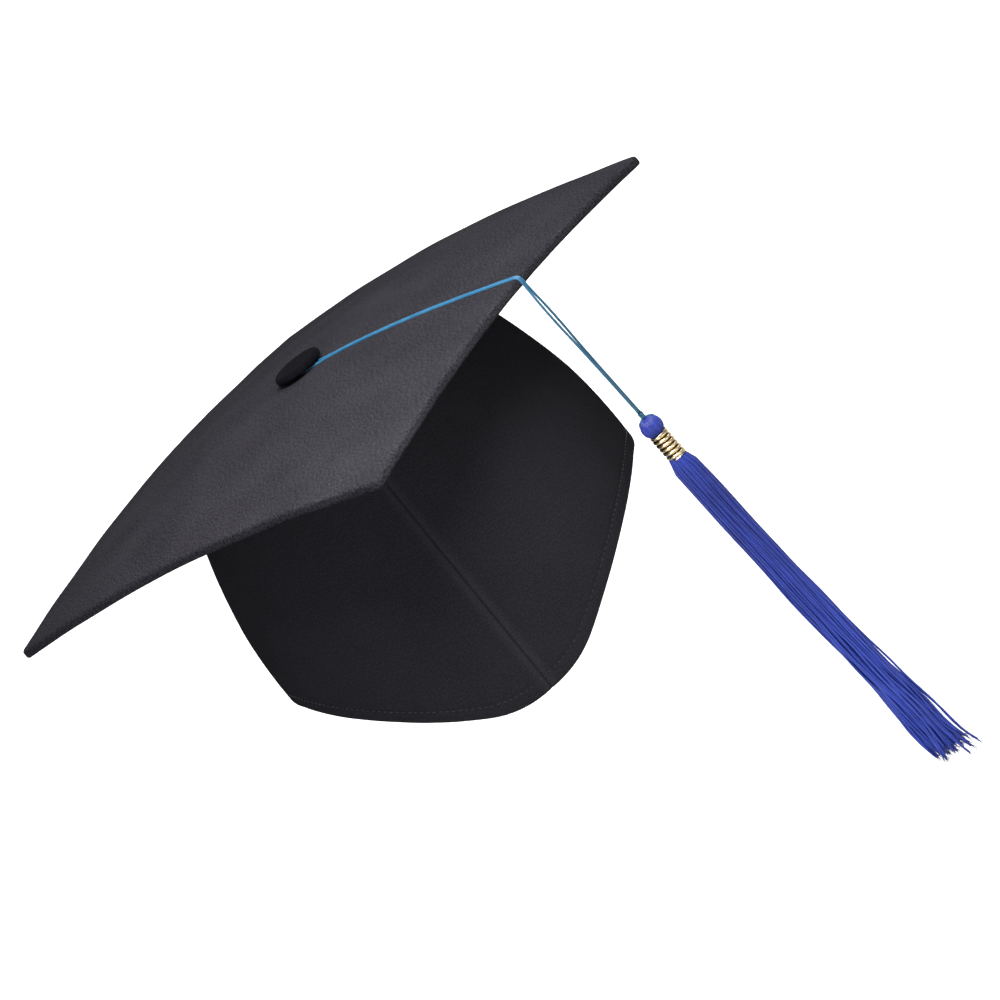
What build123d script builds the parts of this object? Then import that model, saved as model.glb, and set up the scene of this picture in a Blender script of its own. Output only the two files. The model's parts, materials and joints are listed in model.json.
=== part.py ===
from build123d import *
from math import asin, atan2, cos, pi, radians, sin, tan
import os

# Graduation cap, in millimetres: a stiff square board covered in cloth, a head cap (the crown)
# below it, and a tassel on a doubled cord that is looped round the button.
# Origin: centre of the head opening, level with the rim at the wearer's ears.
# +Z is up, -Y is the wearer's front and +X the wearer's left. The board's corners lie on X and Y.

# Board: a card between two cloth covers, which meet in a roll round the edge. It is domed.
board_side = 245.0
board_corner_radius = 4.0
board_top_z = 110.0
board_card_thickness = 2.6
board_cover_thickness = 0.6
edge_roll_width = 2.0
dome_radius = 650.0
dome_reach = 95.0  # from here outwards the board falls in a straight line

# Crown: its wall is straight below the origin and leans in above it on one arc.
rim_radius = 94.1
crown_bulge_radius = 250.0
peak_apex_drop = 53.5  # where the straight flanks of the front peak would meet
peak_tip_radius = 56.0
crown_cloth_thickness = 0.8
interlining_thickness = 1.2
lining_thickness = 0.5
sweatband_thickness = 1.2
sweatband_height = 32.0
elastic_thickness = 1.0
elastic_height = 22.0
elastic_angle = 84.0  # degrees of the rim, at the back
crown_floor_z = -70.0  # the wall is drawn down to here before the rim is cut

# Button: cloth over a metal shell, closed by a plate and riveted through the board.
button_radius = 12.0
button_height = 3.8
button_cloth_thickness = 0.5
button_shell_thickness = 0.6
button_plate_radius = 9.0
rivet_radius = 2.5
rivet_flange_radius = 4.0
rivet_flange_thickness = 0.8
washer_radius = 9.0
washer_thickness = 1.0
rivet_clearance = 0.1

# Tassel cord: one loop of cord, so two strands lie side by side.
cord_diameter = 1.1
cord_clearance = 0.3
strand_half_spacing = 0.7
cord_bearing = -37.7  # degrees from +X to where the cord crosses the board's edge
cord_drop_radius = 125.0  # distance from the button's axis to the hanging strands
cord_pivot_z = 93.6  # the strands swing from here, just under the board
edge_bend_radius = 1.3
hang_lean = 3.0  # degrees: the cord and tassel hang plumb while the cap is tipped by this much

# Tassel
knot_radius = 1.4
knot_z = 18.2
joint_gap = 0.3
head_radius = 5.2
head_height = 9.2
bead_radius = 3.3
neck_radius = 3.0
binding_thickness = 0.45
ferrule_length = 13.2
ferrule_wall = 0.3
ferrule_rings = 6
ferrule_ring_radius = 0.7
skirt_length = 180.0
skirt_top_radius = 5.9
skirt_end_radius = 8.0
skirt_shoulder = 7.0

# Worked out from the sizes above
board_thickness = board_card_thickness + 2 * board_cover_thickness
top_panel_depth = board_thickness + crown_cloth_thickness
stiffener_depth = top_panel_depth + interlining_thickness
lining_depth = stiffener_depth + lining_thickness
interlining_inset = crown_cloth_thickness + interlining_thickness
lining_inset = interlining_inset + lining_thickness
rim_inner_radius = rim_radius - lining_inset - sweatband_thickness
dome_slope = asin(dome_reach / dome_radius)
cord_radius = cord_diameter / 2
button_gap = cord_diameter + 2 * cord_clearance
button_base_z = board_top_z + button_gap
head_top_z = knot_z - knot_radius - joint_gap
ferrule_top_z = head_top_z - head_height
skirt_top_z = ferrule_top_z - ferrule_length
head_centre_z = head_top_z - head_radius
ferrule_bore = neck_radius + binding_thickness
cutter = 2 * board_side


def turned(*edges):
    """Spins a closed outline, drawn in the XZ plane, round the Z axis."""
    return revolve(make_face(Wire(edges)), Axis.Z, 360)


def disc(radius, low_z, high_z):
    """A round plate or post on the Z axis between two heights."""
    return Pos(0, 0, (low_z + high_z) / 2) * Cylinder(radius, high_z - low_z)


def under_dome(depth, reach=board_side):
    """Everything under the board's domed top, lowered by depth."""
    centre_z = board_top_z - dome_radius
    radius = dome_radius - depth
    crest = (0, 0, centre_z + radius)
    middle = (radius * sin(dome_slope / 2), 0, centre_z + radius * cos(dome_slope / 2))
    bend = (radius * sin(dome_slope), 0, centre_z + radius * cos(dome_slope))
    outer = (reach, 0, bend[2] - (reach - bend[0]) * tan(dome_slope))
    low = (reach, 0, 2 * crown_floor_z)
    foot = (0, 0, 2 * crown_floor_z)
    return turned(
        ThreePointArc(crest, middle, bend),
        Line(bend, outer),
        Line(outer, low),
        Line(low, foot),
        Line(foot, crest),
    )


def dome_layer(high_depth, low_depth):
    """A sheet that follows the board's dome between two depths."""
    return under_dome(high_depth) - under_dome(low_depth)


def inside_crown(inset):
    """Everything inside the crown's outer surface, moved inwards by inset."""
    radius = crown_bulge_radius - inset
    centre_x = rim_radius - crown_bulge_radius
    lean = asin(board_top_z / radius)
    low = (rim_radius - inset, 0, crown_floor_z)
    start = (rim_radius - inset, 0, 0)
    middle = (centre_x + radius * cos(lean / 2), 0, radius * sin(lean / 2))
    top = (centre_x + radius * cos(lean), 0, board_top_z)
    return turned(
        Line((0, 0, crown_floor_z), low),
        Line(low, start),
        ThreePointArc(start, middle, top),
        Line(top, (0, 0, board_top_z)),
        Line((0, 0, board_top_z), (0, 0, crown_floor_z)),
    )


def crown_cavity(inset, depth):
    """The crown's inside as a solid: inset from its wall and depth below the board's top."""
    return inside_crown(inset) & under_dome(depth)


def below_rim(raised):
    """Everything below the rim line, raised by some height: a peak in front, level behind."""
    far = 2 * rim_radius
    deep = 3 * crown_floor_z
    side = rim_inner_radius
    slope = atan2(peak_apex_drop, side)
    reach = peak_tip_radius * sin(slope)
    joint_z = reach * tan(slope) - peak_apex_drop
    tip_z = peak_tip_radius / cos(slope) - peak_tip_radius - peak_apex_drop
    outline = make_face(Wire([
        Line((-far, 0, 0), (-side, 0, 0)),
        Line((-side, 0, 0), (-reach, 0, joint_z)),
        ThreePointArc((-reach, 0, joint_z), (0, 0, tip_z), (reach, 0, joint_z)),
        Line((reach, 0, joint_z), (side, 0, 0)),
        Line((side, 0, 0), (far, 0, 0)),
        Line((far, 0, 0), (far, 0, deep)),
        Line((far, 0, deep), (-far, 0, deep)),
        Line((-far, 0, deep), (-far, 0, 0)),
    ]))
    front = extrude(outline, amount=far, dir=(0, -1, 0))
    back = Pos(0, far / 2, deep / 2) * Box(2 * far, far, -deep)
    return Pos(0, 0, raised) * (front + back)


def square_prism(side, corner_radius):
    """The board's outline, with its corners on the X and Y axes, as a tall prism."""
    outline = RectangleRounded(side, side, corner_radius)
    return Rot(0, 0, 45) * extrude(outline, amount=cutter, both=True)


def rivet_hole():
    return Cylinder(rivet_radius + rivet_clearance, cutter)


def board_card():
    plan = square_prism(board_side - 2 * edge_roll_width, board_corner_radius - edge_roll_width)
    layer = dome_layer(board_cover_thickness, board_cover_thickness + board_card_thickness)
    return (layer & plan) - rivet_hole()


def board_top_cover():
    plan = square_prism(board_side - 2 * edge_roll_width, board_corner_radius - edge_roll_width)
    return (dome_layer(0, board_cover_thickness) & plan) - rivet_hole()


def board_bottom_cover():
    plan = square_prism(board_side - 2 * edge_roll_width, board_corner_radius - edge_roll_width)
    layer = dome_layer(board_thickness - board_cover_thickness, board_thickness)
    return (layer & plan) - rivet_hole()


def board_edge_roll():
    plan = square_prism(board_side, board_corner_radius)
    hollow = square_prism(board_side - 2 * edge_roll_width, board_corner_radius - edge_roll_width)
    return dome_layer(0, board_thickness) & (plan - hollow)


def half_space(side):
    """Everything on the wearer's left of the centre seam (side +1) or on the right (side -1)."""
    return Pos(side * cutter / 2, 0, 0) * Box(cutter, 2 * cutter, 2 * cutter)


def crown_half(side):
    """One half of the crown's outer cloth: side is +1 for the wearer's left, -1 for the right."""
    shell = crown_cavity(0, top_panel_depth) - crown_cavity(crown_cloth_thickness, top_panel_depth)
    return (shell & half_space(side)) - below_rim(0)


def crown_interlining(side):
    """One half of the wall's stiff buckram, seamed where the cloth is."""
    outer = crown_cavity(crown_cloth_thickness, top_panel_depth)
    shell = outer - crown_cavity(interlining_inset, top_panel_depth)
    return (shell & half_space(side)) - below_rim(0)


def crown_top_panel():
    return (inside_crown(0) & dome_layer(board_thickness, top_panel_depth)) - rivet_hole()


def crown_top_stiffener():
    layer = dome_layer(top_panel_depth, stiffener_depth)
    return (inside_crown(interlining_inset) & layer) - rivet_hole()


def crown_lining():
    cup = crown_cavity(interlining_inset, stiffener_depth) - crown_cavity(lining_inset, lining_depth)
    return cup - below_rim(0) - rivet_hole()


def band_inside_rim(thickness, height):
    """A band against the lining, from the rim up."""
    wall = crown_cavity(lining_inset, lining_depth) - crown_cavity(lining_inset + thickness, lining_depth)
    return (wall & below_rim(height)) - below_rim(0)


def rear_sector():
    """The wedge at the back of the rim that the elastic spans."""
    reach = 2 * rim_radius
    spread = radians(elastic_angle / 2)
    left = (reach * sin(spread), reach * cos(spread), 0)
    right = (-reach * sin(spread), reach * cos(spread), 0)
    return extrude(make_face(Polyline((0, 0, 0), left, right, close=True)), amount=cutter, both=True)


def sweatband():
    return band_inside_rim(sweatband_thickness, sweatband_height) - rear_sector()


def rear_elastic():
    return band_inside_rim(elastic_thickness, elastic_height) & rear_sector()


def rounded_disc(radius, height, low_z):
    """A flat disc with a half-round edge, standing on low_z."""
    half = height / 2
    flat = radius - half
    return turned(
        Line((0, 0, low_z), (flat, 0, low_z)),
        ThreePointArc((flat, 0, low_z), (radius, 0, low_z + half), (flat, 0, low_z + height)),
        Line((flat, 0, low_z + height), (0, 0, low_z + height)),
        Line((0, 0, low_z + height), (0, 0, low_z)),
    )


def button_body(inset):
    return rounded_disc(button_radius - inset, button_height - 2 * inset, button_base_z + inset)


def button_skin(outer_inset, inner_inset):
    """One layer of the button, open underneath for the plate."""
    mouth = disc(button_plate_radius, button_base_z - 1, button_base_z + button_height / 2)
    return button_body(outer_inset) - button_body(inner_inset) - mouth


def button_cloth():
    return button_skin(0, button_cloth_thickness)


def button_shell():
    return button_skin(button_cloth_thickness, button_cloth_thickness + button_shell_thickness)


def button_plate():
    top = button_base_z + button_cloth_thickness + button_shell_thickness
    return disc(button_plate_radius, button_base_z, top) - Cylinder(rivet_radius, cutter)


def button_rivet():
    plate_top = button_base_z + button_cloth_thickness + button_shell_thickness
    washer_low = board_top_z - lining_depth - washer_thickness
    foot = washer_low - rivet_flange_thickness
    post = disc(rivet_radius, foot, plate_top + rivet_flange_thickness)
    head = disc(rivet_flange_radius, plate_top, plate_top + rivet_flange_thickness)
    clinch = disc(rivet_flange_radius, foot, washer_low)
    return post + head + clinch


def button_washer():
    top = board_top_z - lining_depth
    blank = disc(washer_radius, top - washer_thickness, top) & under_dome(lining_depth)
    return blank - Cylinder(rivet_radius, cutter)


def cord_height(distance):
    """Height of a strand's centre line over the sloping part of the board."""
    start_z = board_top_z - dome_radius + dome_radius * cos(dome_slope)
    surface = start_z - (distance - dome_radius * sin(dome_slope)) * tan(dome_slope)
    return surface + (cord_radius + cord_clearance) / cos(dome_slope)


def at_cord(shape):
    """Turns a piece drawn along +X to the cord's bearing."""
    return Rot(0, 0, cord_bearing) * shape


def strand_tube(points, radii):
    """A tube along straight runs joined by arcs, with its volume against section times length."""
    path = FilletPolyline(*points, radius=radii)
    start = Plane(origin=points[0], z_dir=Vector(*points[1]) - Vector(*points[0]))
    tube = sweep(start * Circle(cord_radius), path=path)
    ratio = tube.volume / (path.length * pi * cord_radius**2)
    print("cord radii", radii, "length", round(path.length, 1), "volume ratio", round(ratio, 4))
    return tube


def cord_on_board():
    """The loop: from a pivot up round the board's edge, over the board, round the shank and back."""
    side = strand_half_spacing
    # One strand's chosen points: distance out from the button, sideways, and height
    strand = [
        (cord_drop_radius, side, cord_pivot_z),
        (cord_drop_radius, side, cord_height(cord_drop_radius)),
        (75.4, side, 106.78),
        (35.2, side, 110.22),
        (12.5, side, 110.74),
        (3.65, 3.65, 110.85),
        (-3.65, 3.65, 110.85),
    ]
    radii = [edge_bend_radius, 520.0, 380.0, 28.0, 20.0, 3.5]
    back = [(x, -y, z) for x, y, z in reversed(strand)]
    tube = strand_tube([*strand, *back], radii + radii[::-1])
    ends = [Pos(*point) * Sphere(cord_radius) for point in (strand[0], back[-1])]
    return at_cord(tube + ends[0] + ends[1])


def hung(shape):
    """Leans a piece below the pivot towards +X."""
    bearing = radians(cord_bearing)
    pivot = Pos(cord_drop_radius * cos(bearing), cord_drop_radius * sin(bearing), cord_pivot_z)
    return pivot * Rot(0, -hang_lean, 0) * pivot.inverse() * shape


def cord_drop(side):
    """One hanging strand: side is +1 for the rear one and -1 for the front one.

    The two strands bow apart below the board's edge and close up again further down."""
    top_z = cord_pivot_z - cord_radius - joint_gap
    strand = [
        (cord_drop_radius, side * strand_half_spacing, top_z),
        (cord_drop_radius, side * 1.4, 77.5),
        (cord_drop_radius, side * 0.64, 54.0),
        (cord_drop_radius, side * 0.6, knot_z + knot_radius + joint_gap),
    ]
    return hung(at_cord(strand_tube(strand, [250.0, 300.0])))


def at_tassel(shape):
    """Places a piece, drawn on the Z axis, under the hanging strands."""
    return hung(at_cord(Pos(cord_drop_radius, 0, 0) * shape))


def cord_knot():
    return at_tassel(Pos(0, 0, knot_z) * Sphere(knot_radius))


def tassel_bead():
    return at_tassel(Pos(0, 0, head_centre_z) * Sphere(bead_radius))


def tassel_head():
    ball = (Pos(0, 0, head_centre_z) * Sphere(head_radius)) & disc(cutter, ferrule_top_z, head_top_z + 1)
    neck = disc(neck_radius, skirt_top_z, head_centre_z)
    return at_tassel((ball + neck) - Pos(0, 0, head_centre_z) * Sphere(bead_radius))


def tassel_binding():
    ring = disc(ferrule_bore, skirt_top_z, ferrule_top_z) - Cylinder(neck_radius, cutter)
    return at_tassel(ring)


def tassel_ferrule():
    sleeve_radius = ferrule_bore + ferrule_wall
    pitch = ferrule_length / ferrule_rings
    body = disc(sleeve_radius, skirt_top_z, ferrule_top_z)
    for ring in range(ferrule_rings):
        height = skirt_top_z + (ring + 0.5) * pitch
        body = body + Pos(0, 0, height) * Torus(sleeve_radius - 0.1, ferrule_ring_radius)
    return at_tassel(body - Cylinder(ferrule_bore, cutter))


def tassel_skirt():
    top_radius = ferrule_bore + ferrule_wall
    low_z = skirt_top_z - skirt_length
    shoulder = (skirt_top_radius, 0, skirt_top_z - skirt_shoulder)
    return at_tassel(turned(
        Line((0, 0, skirt_top_z), (top_radius, 0, skirt_top_z)),
        Line((top_radius, 0, skirt_top_z), shoulder),
        Line(shoulder, (skirt_end_radius, 0, low_z)),
        Line((skirt_end_radius, 0, low_z), (0, 0, low_z)),
        Line((0, 0, low_z), (0, 0, skirt_top_z)),
    ))


nodes = {
    "board_card": board_card(),
    "board_top_cover": board_top_cover(),
    "board_bottom_cover": board_bottom_cover(),
    "board_edge_roll": board_edge_roll(),
    "crown_cloth_left": crown_half(1),
    "crown_cloth_right": crown_half(-1),
    "crown_interlining_left": crown_interlining(1),
    "crown_interlining_right": crown_interlining(-1),
    "crown_top_panel": crown_top_panel(),
    "crown_top_stiffener": crown_top_stiffener(),
    "crown_lining": crown_lining(),
    "sweatband": sweatband(),
    "rear_elastic": rear_elastic(),
    "button_cloth": button_cloth(),
    "button_shell": button_shell(),
    "button_plate": button_plate(),
    "button_rivet": button_rivet(),
    "button_washer": button_washer(),
    "cord_on_board": cord_on_board(),
    "cord_drop_front": cord_drop(-1),
    "cord_drop_rear": cord_drop(1),
    "cord_knot": cord_knot(),
    "tassel_bead": tassel_bead(),
    "tassel_head": tassel_head(),
    "tassel_binding": tassel_binding(),
    "tassel_ferrule": tassel_ferrule(),
    "tassel_skirt": tassel_skirt(),
}

os.makedirs("parts", exist_ok=True)
for name, shape in nodes.items():
    export_step(shape, f"parts/{name}.step")
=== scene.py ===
import json
import random
from math import asin, atan2, cos, exp, hypot, pi, radians, sin, sqrt, tan

import bmesh
import bpy
from mathutils import Matrix, Vector, noise

# Graduation cap: a domed square board, a stiffened crown, a covered button and a corded tassel.
# The meshes are drawn in millimetres and scaled to metres as each piece is finished.
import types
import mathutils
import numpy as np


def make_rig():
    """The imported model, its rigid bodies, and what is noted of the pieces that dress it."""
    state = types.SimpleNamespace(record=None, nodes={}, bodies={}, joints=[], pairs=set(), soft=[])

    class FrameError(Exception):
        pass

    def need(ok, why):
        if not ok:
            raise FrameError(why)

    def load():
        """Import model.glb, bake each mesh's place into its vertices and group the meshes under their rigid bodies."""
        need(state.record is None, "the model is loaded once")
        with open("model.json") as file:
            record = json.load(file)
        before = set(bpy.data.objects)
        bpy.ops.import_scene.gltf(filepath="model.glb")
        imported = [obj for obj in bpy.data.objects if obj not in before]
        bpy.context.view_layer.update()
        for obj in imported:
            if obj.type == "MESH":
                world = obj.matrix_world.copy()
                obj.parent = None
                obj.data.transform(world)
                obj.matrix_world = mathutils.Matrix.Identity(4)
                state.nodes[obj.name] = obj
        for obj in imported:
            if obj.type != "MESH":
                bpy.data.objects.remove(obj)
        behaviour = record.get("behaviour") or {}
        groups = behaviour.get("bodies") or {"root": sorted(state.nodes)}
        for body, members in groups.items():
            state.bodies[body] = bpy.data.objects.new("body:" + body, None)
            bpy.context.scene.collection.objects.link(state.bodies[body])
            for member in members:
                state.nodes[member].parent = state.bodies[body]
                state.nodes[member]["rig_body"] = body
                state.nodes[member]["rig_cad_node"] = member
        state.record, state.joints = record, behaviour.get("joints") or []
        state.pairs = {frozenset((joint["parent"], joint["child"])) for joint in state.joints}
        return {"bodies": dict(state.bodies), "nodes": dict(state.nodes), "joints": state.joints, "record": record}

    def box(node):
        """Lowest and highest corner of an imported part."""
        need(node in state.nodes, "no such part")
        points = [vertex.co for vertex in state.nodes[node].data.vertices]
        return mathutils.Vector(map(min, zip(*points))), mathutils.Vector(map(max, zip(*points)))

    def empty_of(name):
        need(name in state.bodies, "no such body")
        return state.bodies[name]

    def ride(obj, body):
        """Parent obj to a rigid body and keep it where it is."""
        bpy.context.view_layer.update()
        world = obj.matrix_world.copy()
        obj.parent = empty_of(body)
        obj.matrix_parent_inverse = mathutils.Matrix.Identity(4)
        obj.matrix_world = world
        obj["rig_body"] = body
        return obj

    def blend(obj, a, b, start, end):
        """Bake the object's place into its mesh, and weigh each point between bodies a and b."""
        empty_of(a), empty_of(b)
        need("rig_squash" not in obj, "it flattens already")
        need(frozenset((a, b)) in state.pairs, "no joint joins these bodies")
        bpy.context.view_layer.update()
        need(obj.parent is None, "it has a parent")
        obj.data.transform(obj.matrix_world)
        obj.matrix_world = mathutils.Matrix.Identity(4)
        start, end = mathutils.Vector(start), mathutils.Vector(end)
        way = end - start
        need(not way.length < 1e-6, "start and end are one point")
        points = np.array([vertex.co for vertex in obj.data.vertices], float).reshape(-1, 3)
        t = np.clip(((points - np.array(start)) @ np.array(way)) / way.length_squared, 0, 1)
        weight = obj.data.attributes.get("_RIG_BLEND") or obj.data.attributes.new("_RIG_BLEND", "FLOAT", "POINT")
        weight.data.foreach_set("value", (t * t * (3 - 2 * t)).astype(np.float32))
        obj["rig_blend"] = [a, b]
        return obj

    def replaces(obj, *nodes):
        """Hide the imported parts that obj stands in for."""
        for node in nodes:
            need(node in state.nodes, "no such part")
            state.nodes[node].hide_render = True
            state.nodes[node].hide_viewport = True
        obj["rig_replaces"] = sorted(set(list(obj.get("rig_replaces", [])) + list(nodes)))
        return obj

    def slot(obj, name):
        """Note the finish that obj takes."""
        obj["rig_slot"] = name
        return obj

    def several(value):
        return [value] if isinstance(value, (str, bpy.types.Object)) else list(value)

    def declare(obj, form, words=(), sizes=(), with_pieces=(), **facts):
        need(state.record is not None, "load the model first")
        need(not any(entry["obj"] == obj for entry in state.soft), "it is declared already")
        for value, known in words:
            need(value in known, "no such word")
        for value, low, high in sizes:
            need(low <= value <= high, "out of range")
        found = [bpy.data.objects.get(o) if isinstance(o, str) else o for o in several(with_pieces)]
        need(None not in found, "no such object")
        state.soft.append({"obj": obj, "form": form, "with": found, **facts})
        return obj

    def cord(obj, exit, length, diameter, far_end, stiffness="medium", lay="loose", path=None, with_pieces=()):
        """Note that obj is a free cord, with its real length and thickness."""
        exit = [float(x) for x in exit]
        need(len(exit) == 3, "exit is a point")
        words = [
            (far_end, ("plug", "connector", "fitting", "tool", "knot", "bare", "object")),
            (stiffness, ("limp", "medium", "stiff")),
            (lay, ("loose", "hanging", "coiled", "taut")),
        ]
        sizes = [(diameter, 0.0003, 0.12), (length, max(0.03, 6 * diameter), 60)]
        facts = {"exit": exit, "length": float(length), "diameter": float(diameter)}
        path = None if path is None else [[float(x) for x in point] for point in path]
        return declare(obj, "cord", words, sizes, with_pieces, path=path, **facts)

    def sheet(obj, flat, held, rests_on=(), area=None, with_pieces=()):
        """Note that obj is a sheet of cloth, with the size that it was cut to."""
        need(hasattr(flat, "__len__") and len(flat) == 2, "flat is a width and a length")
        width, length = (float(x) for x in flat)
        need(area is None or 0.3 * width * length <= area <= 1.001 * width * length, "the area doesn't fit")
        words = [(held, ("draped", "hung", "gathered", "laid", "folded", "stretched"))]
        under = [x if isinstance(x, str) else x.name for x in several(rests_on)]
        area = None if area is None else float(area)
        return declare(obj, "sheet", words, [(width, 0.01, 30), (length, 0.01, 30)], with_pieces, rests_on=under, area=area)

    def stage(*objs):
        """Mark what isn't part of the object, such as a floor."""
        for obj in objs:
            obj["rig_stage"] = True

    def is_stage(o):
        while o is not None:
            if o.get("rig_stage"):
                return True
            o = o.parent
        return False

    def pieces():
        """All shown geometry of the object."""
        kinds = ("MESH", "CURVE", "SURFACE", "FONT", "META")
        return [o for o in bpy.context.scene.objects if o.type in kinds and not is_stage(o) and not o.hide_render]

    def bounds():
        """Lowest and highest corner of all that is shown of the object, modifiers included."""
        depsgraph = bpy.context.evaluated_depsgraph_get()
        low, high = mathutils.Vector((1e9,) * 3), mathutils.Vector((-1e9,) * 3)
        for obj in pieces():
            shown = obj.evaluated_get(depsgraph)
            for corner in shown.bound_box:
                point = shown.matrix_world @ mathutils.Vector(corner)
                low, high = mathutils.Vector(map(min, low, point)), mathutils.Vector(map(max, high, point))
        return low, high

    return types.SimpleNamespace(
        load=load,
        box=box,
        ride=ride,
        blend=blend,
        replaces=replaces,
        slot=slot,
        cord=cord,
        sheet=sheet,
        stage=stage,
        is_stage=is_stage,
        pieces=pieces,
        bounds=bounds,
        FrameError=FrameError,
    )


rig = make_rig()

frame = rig.load()
cad_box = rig.bounds()
MM = 0.001
joints = {joint["name"]: joint for joint in frame["joints"]}


def box_mm(node):
    """Lowest and highest corner of a node, in millimetres."""
    low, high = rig.box(node)
    return low / MM, high / MM


# Board
board_corner_radius = 2.8
board_tip = box_mm("board_edge_roll")[1].x + 1.1  # to a corner's tip, over the fold of the cloth
board_half = (board_tip + board_corner_radius * (sqrt(2) - 1)) / sqrt(2)
board_top_z = 110.0
board_thickness = 3.8
board_cloth_thickness = 0.5
edge_top_round = 0.8
edge_low_round = 0.8
edge_low_inset = 0.35  # the cloth's turn-in lies this far above the board's underside
edge_hem_width = 7.0
under_cloth_inset = 3.4
dome_radius = 650.0
dome_reach = 95.0  # from here outwards the board falls in a straight line
dome_slope = tan(asin(dome_reach / dome_radius))
ripple_long = 0.42  # heights of the two waves in the board's cloth
ripple_short = 0.1
ripple_free_at = 16.0  # the waves start outside the button
ripple_rise = 30.0  # and reach their full height this much further out
fair_beside_cord = 13.0  # the cloth lies fair this far to each side of the cord
rivet_hole_radius = 2.6

# Crown
rim_radius = box_mm("crown_cloth_left")[1].x
crown_bulge_radius = 250.0
crown_cloth_thickness = 0.8
interlining_thickness = 1.2
lining_thickness = 0.5
sweatband_thickness = 1.2
band_inset = crown_cloth_thickness + interlining_thickness + lining_thickness
rim_inner_radius = rim_radius - band_inset - sweatband_thickness
peak_apex_drop = 53.5
peak_tip_radius = 56.0
crown_top_radius = 72.6  # where the wall meets the layers under the board
keel_height = 3.6  # how far the front seam stands out at the peak
keel_spread = 13.0  # degrees
keel_low = -44.0  # the seam stands out in full up to here, and fades over the next length
keel_length = 145.0
keel_fade = 0.75
# Where the wall stands fuller: its turn and spread in degrees, and how far it is pushed out
full_places = ((-86, 34, 1.8), (92, 26, 1.2))
full_below = 96.0  # heights: the fullness starts here and is complete this much lower
full_rise = 60.0
wall_ripple = 0.55  # how far the wall's slow waves stand out
left_sag = (4.4, 1.6)  # how far the rim hangs down midway and at the side
right_sag = (1.4, 6.4)
peak_sag = 1.0
sag_end = 72.0  # the sag has died out this far behind the middle
hem_stitch_height = 6.5
hem_fold_radius = 1.25

# Button
button_low, button_high = box_mm("button_cloth")
button_radius = button_high.x
button_mouth_radius = 9.0

# Cord and tassel
cord_diameter = 1.1
cord_full_radius = 0.62  # over the raised strands; the grooves between them lie inside the cord's own radius
strand_groove = 0.16  # as a share of the radius
strand_step = 0.45
tassel_axis = Vector(joints["tassel_spin"]["axis"])
tassel_across = Vector(joints["tassel_sway"]["axis"])
knot_place = Vector(joints["tassel_spin"]["pos_m"])
pivot_place = Vector(joints["drop_swing"]["pos_m"])
cord_bearing = atan2(pivot_place.y, pivot_place.x)
hang_lean = atan2(-tassel_axis.x, tassel_axis.z)
head_radius = 5.2
head_top = -1.7  # heights on the tassel are measured from the knot's centre
head_centre = head_top - head_radius
ferrule_top = -10.9
ferrule_length = 13.2
ferrule_radius = 3.65
ferrule_turns = 6
skirt_top = ferrule_top - ferrule_length
skirt_length = 180.0
viewer_side = -cord_bearing  # round the tassel's own axis, the side to the camera's right


def srgb(code):
    """A linear colour from an sRGB hex value."""
    parts = [int(code[start:start + 2], 16) / 255 for start in (1, 3, 5)]
    return [p / 12.92 if p <= 0.04045 else ((p + 0.055) / 1.055) ** 2.4 for p in parts] + [1.0]


# ---------------------------------------------------------------- camera, floor and light

camera_distance = 2.2305
camera_azimuth = radians(1.655)
camera_elevation = radians(11.592)
camera_roll = radians(39.34)
camera_lens = 183.0
aim_right = 0.0866  # where the camera looks, from the middle of the board, in metres
aim_down = 0.05585


def make_camera():
    back = Vector((
        sin(camera_azimuth) * cos(camera_elevation),
        -cos(camera_azimuth) * cos(camera_elevation),
        sin(camera_elevation),
    ))
    level = Vector((cos(camera_azimuth), sin(camera_azimuth), 0))
    upright = back.cross(level)
    up = upright * cos(camera_roll) + level * sin(camera_roll)
    right = level * cos(camera_roll) - upright * sin(camera_roll)
    looked_at = right * aim_right - up * aim_down - back * camera_distance
    turn = (-back).rotation_difference(looked_at).to_matrix()
    facing = turn @ Matrix((right, up, back)).transposed()
    data = bpy.data.cameras.new("camera")
    data.lens = camera_lens
    data.sensor_width = 36.0
    data.clip_end = 60.0
    camera = bpy.data.objects.new("camera", data)
    camera.matrix_world = Matrix.Translation(
        Vector((0, 0, board_top_z * MM)) + back * camera_distance) @ facing.to_4x4()
    bpy.context.scene.collection.objects.link(camera)
    bpy.context.scene.camera = camera


def add_light(name, place, aim, size, power, colour="#ffffff"):
    data = bpy.data.lights.new(name, "AREA")
    data.shape = "DISK"
    data.size = size
    data.energy = power
    data.color = srgb(colour)[:3]
    light = bpy.data.objects.new(name, data)
    light.location = place
    light.rotation_euler = (Vector(aim) - Vector(place)).to_track_quat("-Z", "Y").to_euler()
    light.visible_camera = False  # the lamps stay out of sight from every side
    bpy.context.scene.collection.objects.link(light)


def make_studio():
    world = bpy.data.worlds.new("studio")
    bpy.context.scene.world = world
    world.use_nodes = True
    world.node_tree.nodes["Background"].inputs["Color"].default_value = srgb("#ffffff")
    world.node_tree.nodes["Background"].inputs["Strength"].default_value = 0.25
    bpy.context.scene.view_settings.view_transform = "Standard"
    add_light("key_light", place=(0.06, -0.28, 0.38), aim=(0, -0.05, 0.1), size=0.26, power=4.3,
              colour="#fffaf6")
    add_light("rear_light", place=(0.36, 0.14, 0.5), aim=(0.08, 0.04, 0.1), size=0.4, power=1.9)
    add_light("front_light", place=(-0.8, -1.25, -0.02), aim=(0, -0.05, 0), size=0.6, power=6.0,
              colour="#f9faff")
    add_light("tassel_light", place=(0.55, -0.75, -0.3), aim=(0.13, -0.08, -0.17), size=0.4, power=1.3)
    for across in (-2.2, 2.2):
        for depth, power in ((2.0, 330), (-2.0, 150)):
            add_light("backdrop_light", place=(across, depth, 3.4), aim=(across * 0.6, depth * 3, 2.0),
                      size=2.6, power=power)
    make_floor()


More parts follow.
